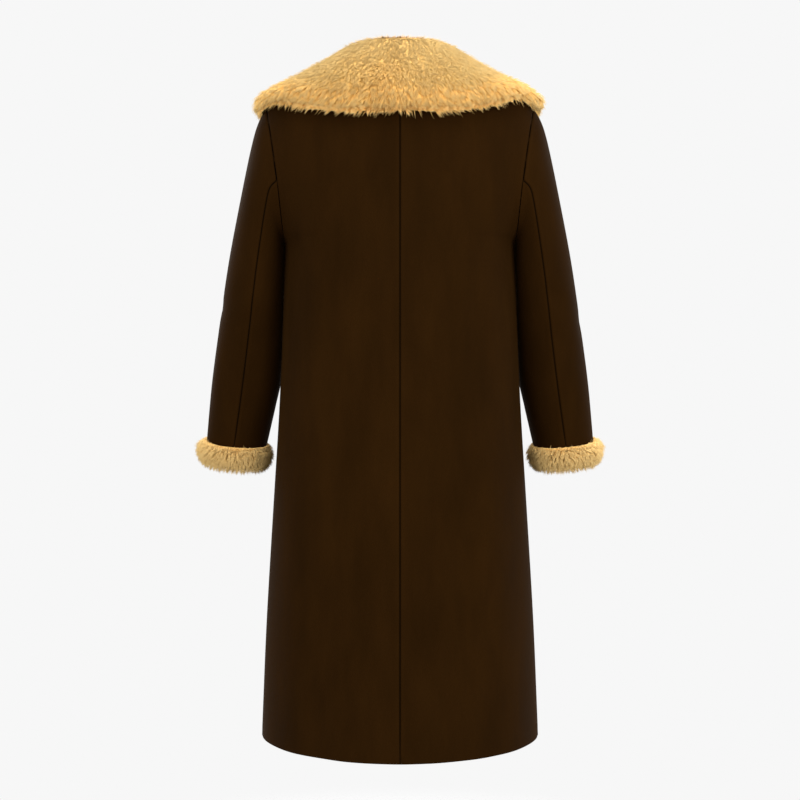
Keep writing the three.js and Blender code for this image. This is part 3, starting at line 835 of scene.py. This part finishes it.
# %% [markdown]
# ## The pile
#
# Blender's hair system could grow the hairs, but the part has to be a mesh that other programs can read.
# So the pile is made of about 140,000 small closed spikes with three sides. They are of two kinds: a lock
# with one cut across it, where it can bend, and a straight hair without one. Each kind is modelled once,
# with the cone operator. All its copies are then laid along curves at once, as arrays, which takes
# seconds.
#
# What makes it look like fur and not like a brush is that hairs stick together. Each lock belongs to a
# clump, leans the way its clump leans, and points its tip at the clump's tip, apart from a few loose
# hairs. The collar has three zones: calm pile, brushed flat over the shoulders and the fold; short curls,
# most of all in the middle of the back; and longer pointed tufts side by side along the outer edge. The
# hairs of the cuffs are nearly as long as those, and stand out all round.

# %% One lock and one hair
BEND_AT = 0.45  # share of a lock's length where it has its cut
FULL_SIDES = 0.55  # power by which a spike keeps its thickness towards the tip


def lock_shape(cuts):
    """A three-sided spike of length 1 with full sides, as points and triangles."""
    bm = bmesh.new()
    bmesh.ops.create_cone(bm, cap_ends=True, segments=3, radius1=1, radius2=0, depth=1)
    bmesh.ops.remove_doubles(bm, verts=bm.verts, dist=1e-4)
    bmesh.ops.translate(bm, verts=bm.verts, vec=(0, 0, 0.5))
    for height in cuts:
        geometry = [*bm.verts, *bm.edges, *bm.faces]
        bmesh.ops.bisect_plane(bm, geom=geometry, plane_co=(0, 0, height), plane_no=(0, 0, 1))
    for vert in bm.verts:
        fullness = (1 - vert.co.z) ** -FULL_SIDES if vert.co.z < WHOLLY else 1
        vert.co.x *= fullness
        vert.co.y *= fullness
    bmesh.ops.triangulate(bm, faces=bm.faces)
    bm.normal_update()
    points = np.array([vert.co[:] for vert in bm.verts])
    triangles = np.array([[vert.index for vert in face.verts] for face in bm.faces])
    bm.free()
    return points, triangles


LOCK = lock_shape([BEND_AT])
HAIR = lock_shape([])
print("one lock:", len(LOCK[1]), "triangles, one hair:", len(HAIR[1]), "triangles")

# %% Where the locks stand
EDGE_ZONE = (0.028, 0.066)  # the edge zone fades out between these distances
EDGE_DENSER = 0.8  # share by which the pile is denser in the edge zone


def spread_roots(obj, count, rng):
    """Random places on the open side of the ground, spread evenly and denser in the edge zone."""
    mesh = obj.data
    mesh.calc_loop_triangles()
    corners = np.array([triangle.vertices[:] for triangle in mesh.loop_triangles])
    points, normals, pile = read_points(mesh), read_normals(mesh), read_attribute(mesh, "pile")
    from_edge = read_attribute(mesh, "from_edge")
    corners = corners[pile[corners].min(axis=1) > 0.5]
    a, b, c = points[corners].transpose(1, 0, 2)
    area = np.linalg.norm(np.cross(b - a, c - a), axis=1) / 2
    density = area * (1 + EDGE_DENSER * (1 - smoothstep(from_edge[corners].mean(axis=1), *EDGE_ZONE)))
    chosen = rng.choice(len(corners), count, p=density / density.sum())
    u, v = rng.random((2, count))
    flip = u + v > 1
    u, v = np.where(flip, 1 - u, u), np.where(flip, 1 - v, v)
    weights = np.column_stack((1 - u - v, u, v))[:, :, None]
    corner = corners[chosen]
    roots = (points[corner] * weights).sum(axis=1)
    facing = unit((normals[corner] * weights).sum(axis=1))
    edge = (from_edge[corner] * weights[:, :, 0]).sum(axis=1)
    print(obj.name, "open area", round(area.sum(), 4), "m2,", count, "locks and hairs")
    return roots, facing, edge


# %% Curls and partings
# the side it is seen from, across, height, half its width, half its height and how curly it is
CURLS = [
    ("back", 0.032, -0.032, 0.085, 0.036, 1.0),
    ("back", -0.056, -0.031, 0.050, 0.030, 0.6),
    ("back", 0.150, -0.057, 0.050, 0.020, 0.5),
    ("front", 0.125, -0.085, 0.085, 0.075, 0.45),
    ("front", -0.115, -0.105, 0.090, 0.080, 0.50),
    ("front", 0.070, -0.210, 0.045, 0.070, 0.45),
    ("front", -0.075, -0.230, 0.040, 0.060, 0.40),
]
# the same, for spots of painted shade in the creases where the pile parts, with how much the tone is lowered
PAINTED_SHADE_SPOTS = [
    ("back", 0.008, 0.002, 0.014, 0.020, 0.7),
    ("back", 0.020, -0.036, 0.018, 0.014, 0.6),
    ("back", 0.030, -0.030, 0.090, 0.040, 0.42),
    ("front", 0.100, -0.120, 0.020, 0.030, 0.5),
    ("front", -0.090, -0.160, 0.018, 0.030, 0.5),
]


def spots(roots, rows):
    """A soft spot for each row, as strong as its last number in its middle and 0 away from it."""
    total = np.zeros(len(roots))
    for side, across, height, half_width, half_height, strength in rows:
        away = ((roots[:, 0] - across) / half_width) ** 2 + ((roots[:, 2] - height) / half_height) ** 2
        seen = roots[:, 1] > 0 if side == "back" else roots[:, 1] < 0
        total = np.maximum(total, strength * np.exp(-away) * seen)
    return total


# %% Settings of the pile
CALM, CURLY, EDGE, CUFF = range(4)
# every setting in these four zones, in this order
SETTINGS = {
    "length": (0.0110, 0.0100, 0.0168, 0.0162),
    "thickness": (0.00050, 0.00070, 0.00062, 0.00036),
    # how far a lock's middle and tip stand off and lie along, as shares of its length
    "middle_off": (0.26, 0.56, 0.28, 0.42),
    "middle_along": (0.40, 0.20, 0.38, 0.22),
    "tip_off": (0.20, 0.38, 0.20, 0.68),
    "tip_along": (0.88, 0.66, 0.90, 0.58),
    # how far a clump's tips are drawn together
    "gather": (0.10, 0.50, 0.55, 0.40),
    # radians that locks turn by from clump to clump, slowly from place to place, and in small curls
    "lean": (0.08, 0.40, 0.14, 0.16),
    "wander": (0.30, 0.40, 0.20, 0.30),
    "curl": (0.10, 2.2, 0.20, 0.25),
    # share of bent locks among straight hairs
    "bent": (0.10, 1.0, 0.16, 0.15),
    # how much the tone differs from clump to clump, and from root to tip
    "mottled": (0.45, 1.0, 1.1, 0.5),
    "deep": (0.50, 1.0, 1.0, 0.45),
    # how much the shading follows the ground and not the single lock, and is turned outward and up
    "soft": (4.2, 1.2, 0.65, 1.1),
    "outward": (0.0, 0.0, 0.8, 0.6),
    "skyward": (0.32, 0.32, 0.50, 1.2),
    # how many times higher the loose hairs stand, which blur the fur's outline
    "loose": (2.5, 1.3, 1.9, 1.12),
}
# the most that hairs are shortened by, and how far the ground faces that way where it starts and is full
SHORTER = {
    "upper rim of a cuff": (0.5, 0.2, 0.9),
    "rolled under": (0.55, 0.25, 0.85),
    "facing the neck": (0.6, 0.0, 0.5),
}
LOCKS = {"collar": 96000, "cuff": 22500}
CLUMPS = {"collar": 7000, "cuff": 900}
SEEDS = {"collar": 11, "cuff_left": 12, "cuff_right": 13}
EDGE_HEADS = 0.28  # clumps of the edge zone are larger, so hairs there head one this many times as often
CLUMP_SIZES = (-0.20, 0.16)  # shares by which a clump's hairs are shorter or longer
CLUMP_LIFTS = (-0.24, 0.30)  # shares by which it lies lower or stands higher
MIDDLE_GATHER = 0.4  # the middles are drawn together by this share of what the tips are
LOOSE_SHARE = 0.13  # share of loose hairs
HAIR_LENGTHS = (0.85, 1.15)
HAIR_THICKNESSES = (0.75, 1.2)
HAIR_LEAN = 0.11
CALM_TONE = 0.72
TONE_SHARES = {"clump": 0.45, "hair": 0.25, "place": 0.3}
INSIDE_CRISP = (-0.3, 0.1)  # how far a place faces inward, where the shading turns to the single hairs
# scale and offset of each noise
WANDER_NOISE = (21, 3.1)
CURL_NOISE = (80, 7.7)
TONE_NOISE = (21, 5.3)


def noise_at(points, scale, offset):
    return np.array([noise.noise(Vector(point) * scale + Vector((offset, 0, 0))) for point in points])


def settings_at(node, roots, from_edge):
    """Every setting of the pile, blended at each root from the zones that it lies in."""
    if kind_of(node) == "cuff":
        shares = {CUFF: np.ones(len(roots))}
    else:
        edge = 1 - smoothstep(from_edge, *EDGE_ZONE)
        curly = (1 - edge) * spots(roots, CURLS)
        shares = {EDGE: edge, CURLY: curly, CALM: 1 - edge - curly}
    return {key: sum(share * row[zone] for zone, share in shares.items()) for key, row in SETTINGS.items()}


def kept_length(place, facing_it):
    """The share of its length that each hair keeps, by how far its ground faces a certain way."""
    most, low, high = SHORTER[place]
    return 1 - most * smoothstep(facing_it, low, high)


print("settings of the pile:", len(SETTINGS), "in", len(SETTINGS["length"]), "zones")

# %% How the locks lie
def turned(vectors, axes, angles):
    """Each vector turned round its own axis."""
    cos, sin = np.cos(angles)[:, None], np.sin(angles)[:, None]
    along = rows_dot(axes, vectors)[:, None]
    return vectors * cos + np.cross(axes, vectors) * sin + axes * along * (1 - cos)


def shading_of(node, roots, facing, here):
    """The way each lock's shading is turned: as its ground faces, but not inward, and outward at an edge."""
    out = outward_of_sleeve(roots) if kind_of(node) == "cuff" else outward_of_body(roots)
    outward = rows_dot(facing, out)
    whole = facing + (here["outward"] - np.minimum(outward, 0))[:, None] * out
    whole += np.outer(here["skyward"], (0, 0, 1))
    soft = here["soft"] * (1 - smoothstep(-outward, *INSIDE_CRISP))
    return soft[:, None] * unit(whole)


# %% A curve for each lock
def pick_clumps(kind, roots, from_edge, rng):
    """Picks some hairs as the heads of clumps. Every lock belongs to the head nearest to it."""
    rarer = 1 if kind == "cuff" else 1 - (1 - EDGE_HEADS) * (1 - smoothstep(from_edge, *EDGE_ZONE))
    chance = np.ones(len(roots)) * rarer
    heads = rng.choice(len(roots), CLUMPS[kind], replace=False, p=chance / chance.sum())
    tree = tree_of(roots[heads])
    return heads, np.array([tree.find(root)[1] for root in roots])


def pile_curves(node):
    """Root, middle and tip of every lock, with all that its finish needs."""
    kind = kind_of(node)
    rng = np.random.default_rng(SEEDS[node])
    roots, facing, from_edge = spread_roots(ground[node], LOCKS[kind], rng)
    count = len(roots)
    here = settings_at(node, roots, from_edge)

    # what the hairs of a clump share
    heads, clump = pick_clumps(kind, roots, from_edge, rng)
    lean = rng.normal(0, 1, len(heads))[clump]
    size = 1 + here["gather"] * rng.uniform(*CLUMP_SIZES, len(heads))[clump]
    lift = 1 + here["gather"] * rng.uniform(*CLUMP_LIFTS, len(heads))[clump]

    # the loose hairs stand higher, and their tips aren't drawn to the clump's
    loose = rng.random(count) < LOOSE_SHARE
    loose[heads] = False
    lift *= np.where(loose, here["loose"], 1)
    gather = (here["gather"] * ~loose)[:, None]
    shade = rng.random(len(heads))[clump]

    # the way it is combed, and its length
    turn = here["lean"] * lean + rng.normal(0, HAIR_LEAN, count)
    turn += here["wander"] * noise_at(roots, *WANDER_NOISE) + here["curl"] * noise_at(roots, *CURL_NOISE)
    comb = turned(brushed(node, roots, facing, from_edge), facing, turn)
    length = here["length"] * size * rng.uniform(*HAIR_LENGTHS, count)
    if kind == "cuff":
        length *= kept_length("upper rim of a cuff", -rows_dot(facing, down_the_sleeve(roots)))
    else:
        length *= kept_length("rolled under", -facing[:, 2])
        length *= kept_length("facing the neck", -rows_dot(facing, outward_of_body(roots)))

    # where its middle and its tip come to lie
    middle, tip = (
        roots + (length * here[off] * lift)[:, None] * facing + (length * here[along])[:, None] * comb
        for off, along in (("middle_off", "middle_along"), ("tip_off", "tip_along"))
    )
    tip += gather * (tip[heads][clump] - tip)
    middle += MIDDLE_GATHER * gather * (middle[heads][clump] - middle)

    # its tone, and the rest
    tone = TONE_SHARES["clump"] * shade + TONE_SHARES["hair"] * rng.random(count)
    tone += TONE_SHARES["place"] * (0.5 + noise_at(roots, *TONE_NOISE))
    tone = CALM_TONE + here["mottled"] * (tone - CALM_TONE)
    # painted shade in the creases where the pile parts: the hairs' tone is lowered in these spots
    if kind == "collar":
        tone -= spots(roots, PAINTED_SHADE_SPOTS)
    return {
        "facing": facing, "root": roots, "middle": middle, "tip": tip, "deep": here["deep"],
        "thickness": here["thickness"] * rng.uniform(*HAIR_THICKNESSES, count), "tone": np.clip(tone, 0, 1),
        "shading": shading_of(node, roots, facing, here), "bent": rng.random(count) < here["bent"],
    }


# %% Meshes from arrays
def write_vectors(mesh, name, vectors):
    attribute = mesh.attributes.new(name, "FLOAT_VECTOR", "POINT")
    attribute.data.foreach_set("vector", vectors.astype(np.float32).ravel())


def joined_mesh(name, points, triangles):
    mesh = bpy.data.meshes.new(name)
    mesh.vertices.add(len(points))
    mesh.vertices.foreach_set("co", points.astype(np.float32).ravel())
    mesh.loops.add(triangles.size)
    mesh.loops.foreach_set("vertex_index", triangles.astype(np.int32).ravel())
    mesh.polygons.add(len(triangles))
    mesh.polygons.foreach_set("loop_start", np.arange(0, triangles.size, 3, dtype=np.int32))
    mesh.update(calc_edges=True)
    mesh.shade_smooth()
    obj = bpy.data.objects.new(name, mesh)
    bpy.context.collection.objects.link(obj)
    return obj


# %% Copies of a lock along the curves
NUDGE = 0.01  # keeps a lock's sides from vanishing where it stands straight up


def bent_copies(shape, triangles, curves):
    """A copy of a lock along each curve: points, triangles, and what the finish needs at each point."""
    t = shape[:, 2][None, :, None]
    start, middle, tip = (curves[key][:, None] for key in ("root", "middle", "tip"))
    curve = (1 - t) ** 2 * start + 2 * t * (1 - t) * middle + t**2 * tip
    tangent = 2 * (1 - t) * (middle - start) + 2 * t * (tip - middle)
    tangent /= np.linalg.norm(tangent, axis=2, keepdims=True)
    side = np.cross(tangent, np.broadcast_to(curves["facing"][:, None], tangent.shape) + NUDGE)
    side /= np.linalg.norm(side, axis=2, keepdims=True)
    up = np.cross(side, tangent)
    radius = curves["thickness"][:, None, None]
    points = curve + radius * (shape[:, 0][None, :, None] * side + shape[:, 1][None, :, None] * up)
    count, per_lock = points.shape[:2]
    all_triangles = triangles[None] + (np.arange(count) * per_lock)[:, None, None]
    along = 1 - np.outer(curves["deep"], 1 - shape[:, 2])
    tone, shading = (np.repeat(curves[key], per_lock, axis=0) for key in ("tone", "shading"))
    return points.reshape(-1, 3), all_triangles.reshape(-1, 3), along.ravel(), tone, shading


def grow(name, curves):
    """One mesh of all the bent locks and straight hairs."""
    bent = curves["bent"]
    kinds = [
        bent_copies(*kind, {key: values[chosen] for key, values in curves.items()})
        for kind, chosen in ((LOCK, bent), (HAIR, ~bent))
    ]
    points, triangles, along, tone, shading = zip(*kinds)
    triangles = np.vstack((triangles[0], triangles[1] + len(points[0])))
    obj = joined_mesh(name, np.vstack(points), triangles)
    write_attribute(obj.data, "along", np.concatenate(along))
    write_attribute(obj.data, "tone", np.concatenate(tone))
    write_vectors(obj.data, "shading", np.vstack(shading))
    print(name, len(triangles), "triangles,", int(bent.sum()), "locks and", int((~bent).sum()), "hairs")
    return obj


# %% Grow the pile
QUARTERS = {"back_left": (1, 1), "back_right": (-1, 1), "front_left": (1, -1), "front_right": (-1, -1)}
curves = pile_curves("collar")
pile = {node: [] for node in FUR_PIECES}
for quarter, (x, y) in QUARTERS.items():
    mine = (curves["root"][:, 0] * x >= 0) & (curves["root"][:, 1] * y >= 0)
    part = {key: values[mine] for key, values in curves.items()}
    pile["collar"].append(grow(f"collar_pile_{quarter}", part))
for node in ("cuff_left", "cuff_right"):
    pile[node].append(grow(f"{node}_pile", pile_curves(node)))
piles = [obj for objects in pile.values() for obj in objects]

# %% [markdown]
# ## The fur finish
#
# Each lock runs from deep honey at its root to pale gold at its tip, and no two clumps have the same tone.
# The ground under them ranges from about the root's colour to the middle's, so the partings look deep. On
# the backing side, where no pile grows, the ground's material turns into dark cloth.
#
# Light wanders from hair to hair in real fur, which makes it look soft. Following it would take very long.
# The finish turns each lock's shading partly towards the ground that it grows on instead, so that
# neighbours look alike and only the gaps between clumps stay dark.

# %% Finish of the hairs
ROOT = (0.74, 0.38, 0.08)
MIDDLE = (0.98, 0.59, 0.165)
TIP = (1.0, 0.71, 0.30)
# what a hair's colour is multiplied by, from a dark clump to a light one
TINTS = ((0.0, (0.80, 0.74, 0.66)), (0.5, (0.95, 0.93, 0.90)), (1.0, (1.0, 1.0, 1.0)))


def fur_shader(tree, shader, colour, normal):
    fill(tree, shader, {
        "Base Color": colour, "Normal": normal, "Roughness": 0.72, "Specular IOR Level": 0.25,
        "Sheen Weight": 0.05, "Sheen Roughness": 0.4, "Sheen Tint": (1.0, 0.82, 0.55, 1),
    })


pile_material, tree, shader = new_material("fur_pile")
hair = ramp(tree, attribute_value(tree, "along"), ((0.0, ROOT), (0.35, MIDDLE), (1.0, TIP)))
colour = mixed(tree, "MULTIPLY", 1.0, hair, ramp(tree, attribute_value(tree, "tone"), TINTS))
single = add_node(tree, "ShaderNodeNewGeometry").outputs["Normal"]
both = vector_math(tree, "ADD", single, attribute_value(tree, "shading", "Vector"))
fur_shader(tree, shader, colour, vector_math(tree, "NORMALIZE", both))
dress(piles, pile_material)
print("piles:", len(piles), "with", sum(len(obj.data.polygons) for obj in piles), "triangles in all")

# %% Finish of the ground
UNDERCOAT = ((0.3, (0.78, 0.43, 0.11)), (0.7, (0.94, 0.60, 0.20)))
BACKING = ((0.3, WOOL_DARK), (0.7, WOOL_LIGHT))
ground_material, tree, shader = new_material("fur_ground")
place = add_node(tree, "ShaderNodeTexCoord").outputs["Object"]
strands = noise_value(tree, place, 700, 3, 0.6)
curls = noise_value(tree, place, 160, 2, 0.5)
grows = attribute_value(tree, "pile")
colour = mixed(tree, "MIX", grows, ramp(tree, strands, BACKING), ramp(tree, strands, UNDERCOAT))
fuzzy = bumped(tree, strands, strength=0.6, distance=0.001)
fur_shader(tree, shader, colour, bumped(tree, curls, strength=0.6, distance=0.003, under=fuzzy))
dress(ground.values(), ground_material)
print("ground nodes:", len(tree.nodes))

for node, obj in cloth.items():
    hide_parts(node)
    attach(obj, "root")
for node, obj in ground.items():
    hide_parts(node)
    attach(obj, "root")
for obj in piles:
    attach(obj, "root")

# %% [markdown]
# ## The pieces
#
# A coat is cut from flat cloth. Its panels of cloth and the grounds of its fur are counted. The fur's
# piles belong to the backing that they are knitted into.

print("cuts declared:", len(cloth) + len(ground))
